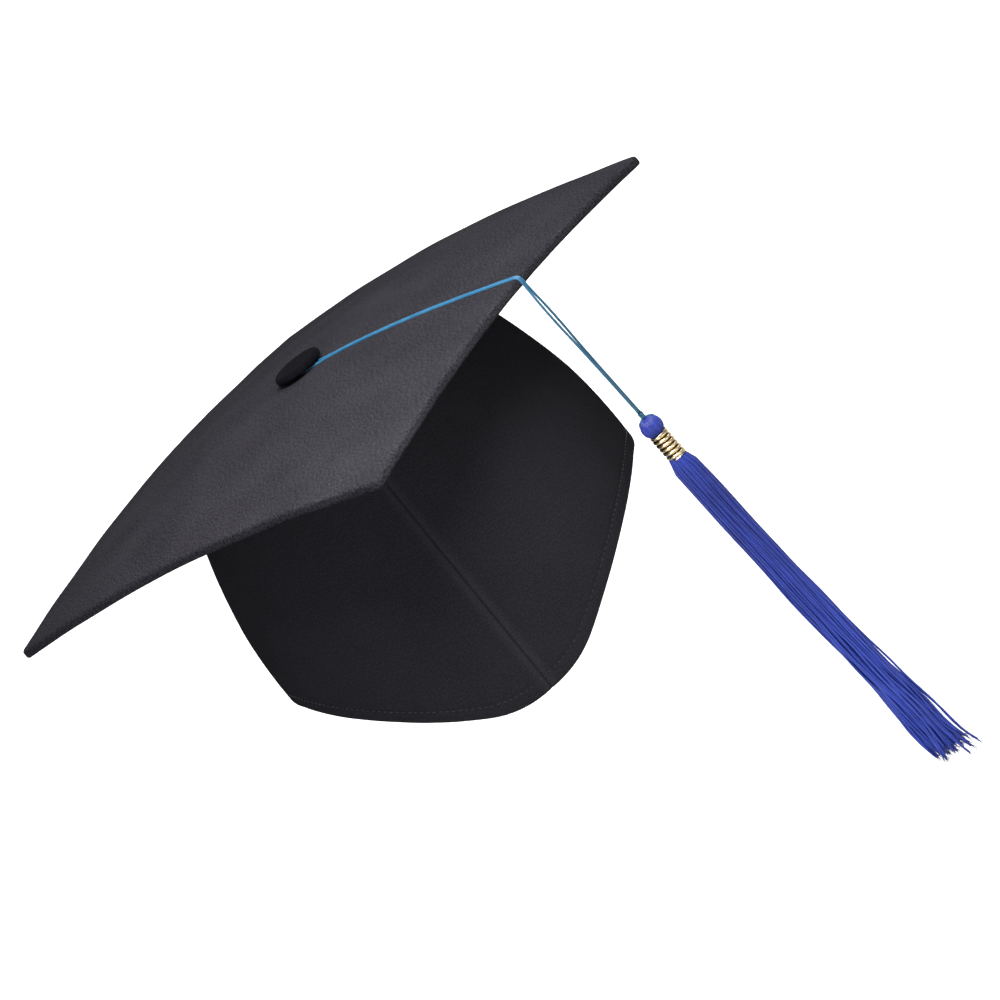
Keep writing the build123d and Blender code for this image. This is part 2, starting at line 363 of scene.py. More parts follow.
def make_floor():
    """A round pale floor that curves up into a backdrop on every side, in metres."""
    floor_mesh = bmesh.new()
    low, reach, rise = -0.9, 9.0, 5.0
    outline = [(0, low), (reach - rise, low)]
    climb = [radians(9 * step) for step in range(1, 9)]
    outline += [(reach - rise + rise * sin(angle), low + rise - rise * cos(angle)) for angle in climb]
    bends = [floor_mesh.verts.new((x, 0, z)) for x, z in outline]
    edges = [floor_mesh.edges.new(pair) for pair in zip(bends, bends[1:])]
    bmesh.ops.spin(floor_mesh, geom=bends + edges, cent=(0, 0, 0), axis=(0, 0, 1), dvec=(0, 0, 0),
                   angle=2 * pi, steps=96, use_merge=True)
    bmesh.ops.remove_doubles(floor_mesh, verts=floor_mesh.verts, dist=1e-5)
    bmesh.ops.recalc_face_normals(floor_mesh, faces=floor_mesh.faces)
    data = bpy.data.meshes.new("studio_floor")
    floor_mesh.to_mesh(data)
    floor_mesh.free()
    data.shade_smooth()
    tree, shader = new_material("painted_studio_floor", roughness=0.9)
    shader.inputs["Base Color"].default_value = srgb("#fbfbfb")
    speckle = add(tree, "TexNoise", {"Scale": 4.0})
    add_bump(tree, shader, speckle.outputs["Fac"], 0.05, 0.002)
    data.materials.append(bpy.data.materials["painted_studio_floor"])
    floor = bpy.data.objects.new("studio_floor", data)
    bpy.context.scene.collection.objects.link(floor)
    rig.stage(floor)


# ---------------------------------------------------------------- nodes and materials

def add(tree, kind, inputs=None, **settings):
    """Adds a node: settings are its properties, and inputs maps sockets to values or to outputs."""
    made = tree.nodes.new("ShaderNode" + kind)
    for name, value in settings.items():
        setattr(made, name, value)
    for name, value in (inputs or {}).items():
        if isinstance(value, bpy.types.NodeSocket):
            tree.links.new(value, made.inputs[name])
        else:
            made.inputs[name].default_value = value
    return made


def new_material(name, **shader_settings):
    """A material with one shader, whose sockets are named in small letters with underscores."""
    material = bpy.data.materials.new(name)
    material.use_nodes = True
    tree = material.node_tree
    shader = tree.nodes["Principled BSDF"]
    names = {socket.name.lower().replace(" ", "_"): socket for socket in shader.inputs}
    for key, value in shader_settings.items():
        names[key].default_value = value
    return tree, shader


def add_bump(tree, shader, height, strength, distance):
    """Raises the surface by a height pattern; distance is in metres."""
    bump = add(tree, "Bump", {"Height": height, "Strength": strength, "Distance": distance})
    tree.links.new(bump.outputs["Normal"], shader.inputs["Normal"])


def mix_colours(tree, factor, first, second):
    """A colour between two hex values, or between an output and a hex value."""
    inputs = {"Factor": factor}
    for place, value in ((6, first), (7, second)):
        inputs[place] = srgb(value) if isinstance(value, str) else value
    return add(tree, "Mix", inputs, data_type="RGBA").outputs[2]


def stretch(tree, value, low, high, new_low=0.0, new_high=1.0):
    """Spreads a pattern's range."""
    return add(tree, "MapRange", {0: value, 1: low, 2: high, 3: new_low, 4: new_high}).outputs[0]


def cut_coordinates(tree):
    """Where a point lies on the flat cloth, in millimetres."""
    return add(tree, "UVMap", uv_map="cut").outputs["UV"]


wave_scale = 0.314  # at this scale a wave pattern repeats once in each unit


def crossed_threads(tree, place, spacing):
    """A plain weave: warp and weft rise over each other by turns, spacing millimetres apart."""
    parts = add(tree, "SeparateXYZ", {0: place})
    waves = []
    for axis in ("X", "Y"):
        turns = add(tree, "Math", {0: parts.outputs[axis], 1: pi / spacing}, operation="MULTIPLY")
        waves.append(add(tree, "Math", {0: turns.outputs[0]}, operation="SINE").outputs[0])
    return add(tree, "Math", {0: waves[0], 1: waves[1]}, operation="MULTIPLY").outputs[0]


def woven_cloth(name, dark, light, thread, grain, sheen, roughness, lint=0.0, seam=False):
    """Plain-woven cloth: crossed threads, an uneven grain, faint cloudy patches and some lint.

    thread and grain are in millimetres. The dyed threads scatter light, so the cloth has no mirror gloss.
    seam paints a pale band beside the front seam, a painted highlight on its pressed edges, and a near-black line down
    it, painted shade in its groove, where the map's first value is 0."""
    tree, shader = new_material(
        name, roughness=roughness, ior=1.5, sheen_weight=sheen, sheen_roughness=0.45,
        sheen_tint=srgb("#b9bac8"), specular_ior_level=0.0,
    )
    place = cut_coordinates(tree)
    weave = crossed_threads(tree, place, thread)
    speck = add(tree, "TexNoise", {"Vector": place, "Scale": 1 / grain, "Detail": 3.0,
                                   "Roughness": 0.7})
    patch = add(tree, "TexNoise", {"Vector": place, "Scale": 1 / 38, "Detail": 2.0})
    level = add(tree, "Math", {0: weave, 1: 0.05, 2: speck.outputs["Fac"]}, operation="MULTIPLY_ADD")
    drift = add(tree, "Math", {0: patch.outputs["Fac"], 1: 0.16, 2: level.outputs[0]},
                operation="MULTIPLY_ADD")
    colour = mix_colours(tree, stretch(tree, drift.outputs[0], 0.42, 0.76), dark, light)
    if lint:
        dust = add(tree, "TexNoise", {"Vector": place, "Scale": 1 / 2.3, "Detail": 4.0})
        specks = stretch(tree, dust.outputs["Fac"], 0.72, 0.8, 0.0, lint)
        colour = mix_colours(tree, specks, colour, "#8d8d96")
    if seam:
        across = add(tree, "SeparateXYZ", {0: place}).outputs["X"]
        away = add(tree, "Math", {0: across}, operation="ABSOLUTE").outputs[0]
        # painted highlight: a pale band on the pressed edges beside the seam
        pressed = stretch(tree, away, 1.2, 5.0, 0.1, 0.0)
        colour = mix_colours(tree, pressed, colour, "#4a4a50")
        # painted shade: a near-black line in the seam's groove
        painted_seam_shade = stretch(tree, away, 0.25, 0.75, 0.4, 0.0)
        colour = mix_colours(tree, painted_seam_shade, colour, "#030303")
    tree.links.new(colour, shader.inputs["Base Color"])
    height = add(tree, "Math", {0: weave, 1: 0.25, 2: speck.outputs["Fac"]}, operation="MULTIPLY_ADD")
    add_bump(tree, shader, height.outputs[0], 0.35, 0.00012)


def make_cloths():
    # Polyester poplin: charcoal black with a visible grain and specks of lint. Its threads lie about
    # 0.25 mm apart, and are drawn 0.5 mm apart, with a grain of about 1 mm, so that they show
    woven_cloth("polyester_poplin_board", "#121216", "#333338", thread=0.5, grain=1.1, sheen=0.02,
                roughness=0.9, lint=0.2)
    # The same cloth fused to buckram: a flatter, finer grain
    woven_cloth("polyester_poplin_crown", "#1c1c1f", "#28282c", thread=0.5, grain=0.9, sheen=0.0,
                roughness=0.9, lint=0.06, seam=True)
    # The same cloth drawn tight over the button, as a darker copy with painted shade
    woven_cloth("polyester_poplin_button", "#060608", "#101013", thread=0.5, grain=0.9, sheen=0.02,
                roughness=0.8)
    # Acetate lining: closer threads, smoother, with a faint soft sheen
    woven_cloth("acetate_lining", "#101014", "#1e1e24", thread=0.35, grain=1.4, sheen=0.1,
                roughness=0.42)


def make_millboard():
    # Grey-brown pressed millboard: matt, with short fibres and flecks about 1.1 mm across
    tree, shader = new_material("grey_millboard", roughness=0.92, ior=1.45)
    place = add(tree, "TexCoord").outputs["Object"]
    fibre = add(tree, "TexNoise", {"Vector": place, "Scale": 900.0, "Detail": 5.0, "Roughness": 0.75})
    colour = mix_colours(tree, stretch(tree, fibre.outputs["Fac"], 0.35, 0.7), "#6f614b", "#9c8b6f")
    tree.links.new(colour, shader.inputs["Base Color"])
    add_bump(tree, shader, fibre.outputs["Fac"], 0.4, 0.0002)


def make_buckram():
    # Starched cotton buckram: an open, stiff weave, off-white, 1.1 mm apart
    tree, shader = new_material("starched_buckram", roughness=0.85, ior=1.5)
    place = cut_coordinates(tree)
    weave = crossed_threads(tree, place, 1.1)
    starch = add(tree, "TexNoise", {"Vector": place, "Scale": 0.4, "Detail": 3.0})
    level = add(tree, "Math", {0: weave, 1: 0.5, 2: starch.outputs["Fac"]}, operation="MULTIPLY_ADD")
    tree.links.new(mix_colours(tree, level.outputs[0], "#a9a392", "#dedacd"), shader.inputs["Base Color"])
    add_bump(tree, shader, weave, 0.8, 0.0003)


def make_leathercloth():
    # Black leathercloth: embossed grain of about 0.9 mm under a soft coated gloss
    tree, shader = new_material("embossed_leathercloth", roughness=0.5, ior=1.5, coat_weight=0.1,
                                coat_roughness=0.4)
    place = cut_coordinates(tree)
    grain = add(tree, "TexVoronoi", {"Vector": place, "Scale": 1 / 0.9}, feature="DISTANCE_TO_EDGE")
    pores = add(tree, "TexNoise", {"Vector": place, "Scale": 0.15, "Detail": 3.0})
    tree.links.new(mix_colours(tree, pores.outputs["Fac"], "#141314", "#29272a"), shader.inputs["Base Color"])
    gloss = stretch(tree, grain.outputs["Distance"], 0.0, 0.3, 0.62, 0.42)
    tree.links.new(gloss, shader.inputs["Roughness"])
    add_bump(tree, shader, stretch(tree, grain.outputs["Distance"], 0.0, 0.25), 0.5, 0.0001)


def make_elastic():
    # Woven rubber-cored elastic: raised ribs along the band, 1.2 mm apart, in matt black yarn
    tree, shader = new_material("ribbed_elastic", roughness=0.85, ior=1.5, sheen_weight=0.15)
    place = cut_coordinates(tree)
    ribs = add(tree, "TexWave", {"Vector": place, "Scale": wave_scale / 1.2, "Distortion": 0.3},
               bands_direction="Y")
    yarn = crossed_threads(tree, place, 0.45)
    level = add(tree, "Math", {0: yarn, 1: 0.3, 2: ribs.outputs["Fac"]}, operation="MULTIPLY_ADD")
    tree.links.new(mix_colours(tree, level.outputs[0], "#0f0f11", "#232327"), shader.inputs["Base Color"])
    add_bump(tree, shader, level.outputs[0], 0.7, 0.0003)


def make_thread(name, dark, light, lay, sheen, roughness, shift=None):
    """Spun rayon thread: fine filaments that run aslant round it, lay millimetres apart, and a silky sheen.

    shift is (start, end, amount, second): the colour goes over to a second one along the thread."""
    tree, shader = new_material(
        name, roughness=roughness, ior=1.47, sheen_weight=sheen, sheen_roughness=0.3,
        anisotropic=0.4,
    )
    place = cut_coordinates(tree)
    slanted = add(tree, "Mapping", {"Vector": place, "Rotation": (0, 0, radians(24)),
                                    "Scale": (1, 0.25, 1)})
    filaments = add(tree, "TexWave", {"Vector": slanted.outputs[0], "Scale": wave_scale / lay,
                                      "Distortion": 1.2, "Detail": 2.0, "Detail Scale": 2.0})
    tone = add(tree, "TexNoise", {"Vector": place, "Scale": 0.09, "Detail": 2.0})
    level = add(tree, "Math", {0: filaments.outputs["Fac"], 1: 0.45, 2: tone.outputs["Fac"]},
                operation="MULTIPLY_ADD")
    colour = mix_colours(tree, stretch(tree, level.outputs[0], 0.35, 1.1), dark, light)
    if shift:
        start, end, amount, second = shift
        run = add(tree, "SeparateXYZ", {0: place}).outputs["Y"]
        colour = mix_colours(tree, stretch(tree, run, start, end, 0.0, amount), colour, second)
    tree.links.new(colour, shader.inputs["Base Color"])
    add_bump(tree, shader, filaments.outputs["Fac"], 0.5, 0.00012)


def make_threads():
    # Bright blue twisted rayon cord, with painted shade where it hangs past the board's edge: from 128 to 150 mm along
    # it, the colour goes over to a darker blue.
    # Rayon filaments are far finer than these; the slanting lines stand for bundles of them
    make_thread("blue_rayon_cord", "#0c4165", "#2c6a8e", lay=0.35, sheen=0.1, roughness=0.42,
                shift=(128, 150, 0.9, "#1c4a62"))
    # The same cord where it is knotted and looped over the head, as a darker teal copy with painted shade
    make_thread("teal_rayon_cord", "#10303f", "#255c78", lay=0.35, sheen=0.08, roughness=0.5)
    # Royal blue rayon of the tassel's skirt, paler further down its cords
    make_thread("royal_blue_rayon", "#0b1658", "#243aa0", lay=0.3, sheen=0.03, roughness=0.45,
                shift=(40, 130, 0.45, "#3852c6"))
    # The same thread drawn tight over the bead, as a deeper copy with painted shade
    make_thread("drawn_blue_rayon", "#070f48", "#263ba6", lay=0.3, sheen=0.02, roughness=0.42)
    # Thread wound under the ferrule
    make_thread("navy_binding_thread", "#161c66", "#2b348e", lay=0.25, sheen=0.1, roughness=0.5)
    # Polyester thread of the hem's stitches
    make_thread("black_sewing_thread", "#0c0c0e", "#1c1c20", lay=0.2, sheen=0.1, roughness=0.55)


def make_metals():
    # Pale gilt brass, plated and burnished: warm and bright on the ridges, tarnished in the grooves.
    # The wear is in patches of about 1.4 mm
    tree, shader = new_material("gilt_brass", metallic=1.0, roughness=0.24)
    place = add(tree, "TexCoord").outputs["Object"]
    wear = add(tree, "TexNoise", {"Vector": place, "Scale": 700.0, "Detail": 3.0})
    burnished = mix_colours(tree, wear.outputs["Fac"], "#d9bd84", "#f6e8c8")
    raised = add(tree, "SeparateXYZ", {0: cut_coordinates(tree)}).outputs["Y"]
    toned = mix_colours(tree, stretch(tree, raised, 0.1, 0.7, 1.0, 0.0), burnished, "#4a3417")
    tree.links.new(toned, shader.inputs["Base Color"])
    tree.links.new(stretch(tree, wear.outputs["Fac"], 0.3, 0.7, 0.18, 0.34), shader.inputs["Roughness"])
    add_bump(tree, shader, wear.outputs["Fac"], 0.2, 0.00005)
    # Pressed aluminium sheet, mill finish: faint rolling lines about 0.4 mm apart
    tree, shader = new_material("pressed_aluminium", metallic=1.0, roughness=0.38)
    place = add(tree, "TexCoord").outputs["Object"]
    lines = add(tree, "Mapping", {"Vector": place, "Scale": (2500, 60, 60)})
    rolled = add(tree, "TexNoise", {"Vector": lines.outputs[0], "Scale": 1.0, "Detail": 3.0})
    mill_finish = mix_colours(tree, rolled.outputs["Fac"], "#b3b6ba", "#cfd1d4")
    tree.links.new(mill_finish, shader.inputs["Base Color"])
    add_bump(tree, shader, rolled.outputs["Fac"], 0.15, 0.00003)
    # Nickel-plated steel rivet: turned, with fine rings about 0.5 mm apart
    tree, shader = new_material("plated_steel", metallic=1.0, roughness=0.3)
    place = add(tree, "TexCoord").outputs["Object"]
    rings = add(tree, "TexWave", {"Vector": place, "Scale": 600.0, "Distortion": 0.5}, wave_type="RINGS",
                rings_direction="Z")
    tree.links.new(mix_colours(tree, rings.outputs["Fac"], "#a2a4a9", "#bcbec2"), shader.inputs["Base Color"])
    add_bump(tree, shader, rings.outputs["Fac"], 0.1, 0.00003)


def make_wood():
    # Turned beech bead: pale, with short darker rays
    tree, shader = new_material("turned_beech", roughness=0.5, ior=1.5)
    place = add(tree, "TexCoord").outputs["Object"]
    grown = add(tree, "Mapping", {"Vector": place, "Scale": (1400, 1400, 180)})
    grain = add(tree, "TexNoise", {"Vector": grown.outputs[0], "Scale": 1.0, "Detail": 4.0})
    tree.links.new(mix_colours(tree, grain.outputs["Fac"], "#9a6f42", "#cfa674"), shader.inputs["Base Color"])
    add_bump(tree, shader, grain.outputs["Fac"], 0.2, 0.0001)


# ---------------------------------------------------------------- making meshes

def surface(columns, rows, place, closed=False, into=None):
    """A grid of quads laid on a surface.

    place(u, v), for u and v from 0 to 1, gives a point and where it lies on the flat cloth."""
    mesh = into or bmesh.new()
    cut = mesh.loops.layers.uv.get("cut") or mesh.loops.layers.uv.new("cut")
    grid = bmesh.ops.create_grid(mesh, x_segments=columns, y_segments=rows, size=0.5)["verts"]
    placed = {vert: place(vert.co.x + 0.5, vert.co.y + 0.5) for vert in grid}
    for face in {face for vert in grid for face in vert.link_faces}:
        for loop in face.loops:
            loop[cut].uv = placed[loop.vert][1]
    for vert, (point, _) in placed.items():
        vert.co = point
    if closed:
        bmesh.ops.remove_doubles(mesh, verts=grid, dist=1e-4)
    return mesh


def piece(name, mesh, material, slot, body=None, stands_for=(), thickness=0.0, turned=None):
    """Turns a finished bmesh into a shaded object in metres and gives it to the frame."""
    if turned:
        bmesh.ops.transform(mesh, matrix=turned, verts=mesh.verts)
    bmesh.ops.scale(mesh, vec=(MM, MM, MM), verts=mesh.verts)
    data = bpy.data.meshes.new(name)
    mesh.to_mesh(data)
    mesh.free()
    data.shade_smooth()
    data.materials.append(bpy.data.materials[material])
    made = bpy.data.objects.new(name, data)
    bpy.context.scene.collection.objects.link(made)
    if thickness:
        wall = made.modifiers.new("cloth", "SOLIDIFY")
        wall.thickness = thickness * MM
        wall.offset = -1
    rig.slot(made, slot)
    if stands_for:
        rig.replaces(made, *stands_for)
    if body:
        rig.ride(made, body)
    return made


def tube(points, radius, sides, lobes=0, lay=4.0, shift=0.0, into=None, taper=0.0):
    """A tube along points in millimetres; lobes are strands laid round it, one turn in lay millimetres.

    shift moves its cloth map sideways, so that no two tubes look alike, and taper thins its far end."""
    forward = [(after - before).normalized() for before, after in
               zip([points[0], *points[:-1]], [*points[1:], points[-1]])]
    side = forward[0].orthogonal().normalized()
    sides_at, run, length = [], [], 0.0
    for index, point in enumerate(points):
        side = (side - forward[index] * side.dot(forward[index])).normalized()
        sides_at.append(side)
        length += (point - points[max(index - 1, 0)]).length
        run.append(length)
    last = len(points) - 1

    def place(u, v):
        index = round(v * last)
        angle = 2 * pi * u
        laid = lobes * (angle - 2 * pi * run[index] / lay)
        size = radius * (1 - strand_groove * (0.5 - 0.5 * cos(laid)))
        size *= 1 - taper * v
        out = sides_at[index] * cos(angle) + forward[index].cross(sides_at[index]) * sin(angle)
        return points[index] + out * size, (shift + u * 2 * pi * radius, run[index])

    return surface(sides, last, place, closed=True, into=into)


def close_ends(mesh):
    """Closes every open end of a tube."""
    open_edges = [edge for edge in mesh.edges if edge.is_boundary]
    bmesh.ops.holes_fill(mesh, edges=open_edges, sides=0)
    bmesh.ops.recalc_face_normals(mesh, faces=mesh.faces)


# ---------------------------------------------------------------- the cord

def at_cord(outwards, sideways, height):
    """A point of the cord, in metres, from distances in millimetres along its bearing."""
    x = outwards * cos(cord_bearing) - sideways * sin(cord_bearing)
    y = outwards * sin(cord_bearing) + sideways * cos(cord_bearing)
    return Vector((x, y, height)) * MM


def hung(point):
    """Leans a point below the pivot, as the tassel hangs."""
    return pivot_place + Matrix.Rotation(-hang_lean, 3, "Y") @ (point - pivot_place)


def strand_route(side):
    """One strand from behind the shank, over the board and its edge, and down to the knot."""
    over_board = [
        (-3.65, 0.0, 110.85),
        (-3.65, 3.65, 110.85),
        (3.65, 3.65, 110.85),
        (12.5, 0.7, 110.7),
        (35.2, 0.7, 110.1),
        (75.4, 0.7, 106.66),
        (118.7, 0.7, 100.28),
        (125.0, 0.7, 99.45),
        (125.0, 0.7, 93.6),
    ]
    hanging = [
        (125.0, 1.65, 77.5),
        (125.0, 0.64, 54.0),
        (125.0, 0.6, 19.9),
    ]
    board_points = [at_cord(out, side * across, height) for out, across, height in over_board]
    return board_points + [hung(at_cord(out, side * across, height)) for out, across, height in hanging]


def read_route(name, points):
    """Draws a smooth line through the route and gives back the points that it passes."""
    data = bpy.data.curves.new(name, "CURVE")
    data.dimensions = "3D"
    data.resolution_u = 40
    line = data.splines.new("NURBS")
    line.points.add(len(points) - 1)
    for spot, point in zip(line.points, points):
        spot.co = (*point, 1.0)
    line.order_u = 3
    line.use_endpoint_u = True
    holder = bpy.data.objects.new(name, data)
    bpy.context.scene.collection.objects.link(holder)
    bpy.context.view_layer.update()
    read = bpy.data.meshes.new_from_object(holder.evaluated_get(bpy.context.evaluated_depsgraph_get()))
    found = [vert.co.copy() for vert in read.vertices]
    bpy.data.meshes.remove(read)
    bpy.data.objects.remove(holder)
    bpy.data.curves.remove(data)
    return found


def evenly(points, step):
    """Points a step apart along a line."""
    spaced, left = [points[0]], step
    for start, end in zip(points, points[1:]):
        gap = (end - start).length
        while gap >= left:
            start = start.lerp(end, left / gap)
            spaced.append(start)
            gap = (end - start).length
            left = step
        left -= gap
    return spaced + [points[-1]]


def make_cord_strand(name, side, stands_for):
    line = evenly(read_route(name + "_route", strand_route(side)), strand_step * MM)
    mesh = tube([point / MM for point in line], cord_full_radius, 12, lobes=3, lay=3.4,
                shift=40.0 * side)
    close_ends(mesh)
    strand = piece(name, mesh, "blue_rayon_cord", "cord", stands_for=stands_for)
    bend = Vector((0, 0, 0.003))
    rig.blend(strand, "cord_loop", "cord_drop", start=pivot_place + bend, end=pivot_place - bend)
    return strand, line


def make_cords():
    knot = make_knot()
    for name, side, stands_for in (
        ("cord_strand_front", -1, ("cord_on_board", "cord_drop_front")),
        ("cord_strand_rear", 1, ("cord_drop_rear",)),
    ):
        strand, line = make_cord_strand(name, side, stands_for)
        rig.cord(strand, exit=line[0], length=0.211, diameter=cord_diameter * MM, far_end="knot",
                stiffness="limp", lay="taut", path=line, with_pieces=[knot])


def tassel_frame():
    """Places a piece that was drawn on the Z axis with the knot at the origin."""
    across = tassel_across.normalized()
    along = tassel_axis.normalized()
    turn = Matrix((across, along.cross(across), along)).transposed().to_4x4()
    return Matrix.Translation(knot_place / MM) @ turn


def make_knot():
    """The two strands are whipped together by three turns of the cord."""
    turns, coil_radius, pitch = 3.2, 0.82, 0.86
    points = []
    for step in range(65):
        share = step / 64
        angle = 2 * pi * turns * share
        height = pitch * turns * (0.5 - share)
        points.append(Vector((coil_radius * cos(angle), coil_radius * sin(angle), height)))
    mesh = tube(points, 0.5, 10, lobes=3, lay=3.0)
    close_ends(mesh)
    return piece("cord_knot_whipping", mesh, "teal_rayon_cord", "cord", "knot", ("cord_knot",),
                 turned=tassel_frame())


# ---------------------------------------------------------------- the tassel

def make_tassel_loop():
    """The cord's end loops over the head, from shoulder to shoulder, and goes in under its threads."""
    points = []
    for step in range(41):
        polar = radians(-66 + 132 * step / 40)
        sink = max(0.0, abs(polar) - radians(44)) * 2.6
        radius = head_radius + 0.12 - sink
        reach = radius * sin(polar)
        points.append(Vector((reach * cos(viewer_side), reach * sin(viewer_side),
                              head_centre + radius * cos(polar))))
    mesh = tube(points, 0.45, 10, lobes=3, lay=3.0, shift=90.0)
    close_ends(mesh)
    piece("tassel_cord_loop", mesh, "teal_rayon_cord", "cord", "tassel", turned=tassel_frame())


def make_head():
    """Cords folded over a bead make a ball of upright threads, drawn in where the ferrule grips."""
    threads, slant = 30, 0.5
    thread_depth, unevenness = 0.34, 0.12
    neck_radius = 3.3
    low = ferrule_top - 2.0

    def place(u, v):
        height = head_top + (low - head_top) * v ** 1.2 if v < 1 else low
        depth = height - head_centre
        ball = sqrt(max(head_radius ** 2 - depth ** 2, 0.0))
        size = max(ball, neck_radius * min(1.0, max(0.0, (head_centre - height) / 2)))
        angle = 2 * pi * u
        ridge = abs(cos(threads / 2 * (angle + slant * v)))
        uneven = noise.noise(Vector((cos(angle) * 3, sin(angle) * 3, v))) * unevenness
        size = size - thread_depth * (1 - ridge ** 0.6) * min(1.0, size / 2.5) + uneven * min(1.0, size / 3)
        return (Vector((size * cos(angle), size * sin(angle), height)),
                (threads * 3.0 * round(u * threads) + u * 33, -height))

    mesh = surface(threads * 8, 44, place, closed=True)
    close_ends(mesh)
    piece("tassel_head_threads", mesh, "drawn_blue_rayon", "tassel", "tassel", ("tassel_head",),
          turned=tassel_frame())


def make_ferrule():
    """A pressed sleeve with a rolled spiral thread, open at both ends.

    The cloth map holds the height above the groove, from 0 to 1, as its second value."""
    ridge_height, ridge_share = 0.8, 0.72
    lip_share, lip_height = 1 / 16, 0.75
    floor_radius = ferrule_radius + 0.05

    def place(u, v):
        angle = 2 * pi * u
        height = ferrule_top - ferrule_length * v
        phase = (ferrule_turns * v - u) % 1.0
        crest = min(1.0, abs(2 * phase - 1) / ridge_share)
        ridge = sqrt(max(0.0, 1 - crest * crest))
        fade = min(1.0, v / lip_share, (1 - v) / lip_share)
        ridge = ridge * fade + lip_height * (1 - fade)
        size = floor_radius + ridge_height * ridge
        return Vector((size * cos(angle), size * sin(angle), height)), (u * 27, ridge)

    mesh = surface(72, 168, place, closed=True)
    bmesh.ops.recalc_face_normals(mesh, faces=mesh.faces)
    piece("ferrule_sleeve", mesh, "gilt_brass", "ferrule", "tassel", ("tassel_ferrule",),
          thickness=0.25, turned=tassel_frame())


def skirt_radius(drop):
    """The skirt's radius at a distance below the ferrule."""
    gripped, loosened, spread = 2.85, 2.7, 1.7
    share = min(1.0, drop / 9.0)
    return gripped + loosened * share * share * (3 - 2 * share) + spread * drop / skirt_length


def wander(seed, drop, length):
    """A slow sideways wave down a cord."""
    sideways = [noise.noise(Vector((seed, drop / length, plane))) for plane in (0, 9)]
    return Vector((*sideways, 0))


def skirt_cord(draw, number, cords):
    """One cord of the skirt: the outer ones gather in locks, and a few on the viewer's right stray."""
    locks, outer_share, gather = 8, 0.45, 0.42
    golden = pi * (3 - sqrt(5))
    steps = 42
    side = Vector((cos(viewer_side), sin(viewer_side), 0))
    share = sqrt((number + 0.5) / cords)
    angle = (number * golden) % (2 * pi)
    lock = round(angle / (2 * pi) * locks) % locks if share > outer_share else locks
    heart = 2 * pi * lock / locks
    stray = share > 0.6 and cos(angle - viewer_side) > 0 and draw.random() < 0.3
    length = skirt_length + draw.uniform(-2.0, 5.0) + (draw.uniform(2.0, 6.0) if stray else 0.0)
    points = []
    for step in range(steps + 1):
        drop = length * step / steps
        loose = min(1.1, drop / skirt_length) ** 1.6
        out = skirt_radius(drop) * share
        turned = angle + (0.0 if lock == locks else gather * loose * sin(heart - angle))
        point = Vector((out * cos(turned), out * sin(turned), skirt_top + 3.0 - drop))
        point += wander(lock * 11.3 + 2, drop, 46) * (0.3 + 3.4 * loose)
        point += wander(number * 3.7, drop, 24) * (0.2 + 1.4 * loose)
        point += side * (3.4 * loose - 0.5 * exp(-drop / 45))
        if stray:
            point += side * 3.5 * (drop / length) ** 9
        points.append(point)
    return points


def make_skirt():
    """Loose cords hang from the ferrule in locks that part towards their frayed ends."""
    cords, cord_radius = 112, 0.52
    frays, fray_radius = 4, 0.17
    draw = random.Random(11)
    mesh = bmesh.new()
    fringe = bmesh.new()
    for number in range(cords):
        points = skirt_cord(draw, number, cords)
        tube(points, cord_radius, 7, shift=number * 31.0, into=mesh)
        tail = (points[-1] - points[-2]).normalized()
        for _ in range(frays):
            spread = Vector((draw.uniform(-1, 1), draw.uniform(-1, 1), 0))
            reach = draw.uniform(1.5, 4.0)
            root = points[-1] - tail * 0.6 + spread * 0.22
            bend = root + tail * reach * 0.5 + spread * 0.35
            tip = root + tail * reach + spread * draw.uniform(0.4, 1.1)
            tube([root, bend, tip], fray_radius, 4, shift=number * 31.0, into=fringe, taper=0.5)
    close_ends(mesh)
    close_ends(fringe)
    piece("skirt_cords", mesh, "royal_blue_rayon", "tassel", "tassel", ("tassel_skirt",),
          turned=tassel_frame())
    piece("skirt_frayed_ends", fringe, "royal_blue_rayon", "tassel", "tassel", turned=tassel_frame())


# ---------------------------------------------------------------- the board

def dome_drop(radius):
    """How far the board's top lies below its crest."""
    arc = min(radius, dome_reach)
    return dome_radius - sqrt(dome_radius ** 2 - arc ** 2) + (radius - arc) * dome_slope


def board_ripple(x, y):
    """The covered board is not quite fair: low waves, which die out under the button and cord."""
    radius = hypot(x, y)
    across = x * sin(cord_bearing) - y * cos(cord_bearing)
    outwards = x * cos(cord_bearing) + y * sin(cord_bearing)
    clear = 1 - exp(-(across / fair_beside_cord) ** 2) if outwards > 0 else 1.0
    fade = min(1.0, max(0.0, (radius - ripple_free_at) / ripple_rise))
    wave = noise.noise(Vector((x / 46, y / 30, 3.1))) * ripple_long
    wave += noise.noise(Vector((x / 17, y / 21, 8.4))) * ripple_short
    return wave * fade * clear


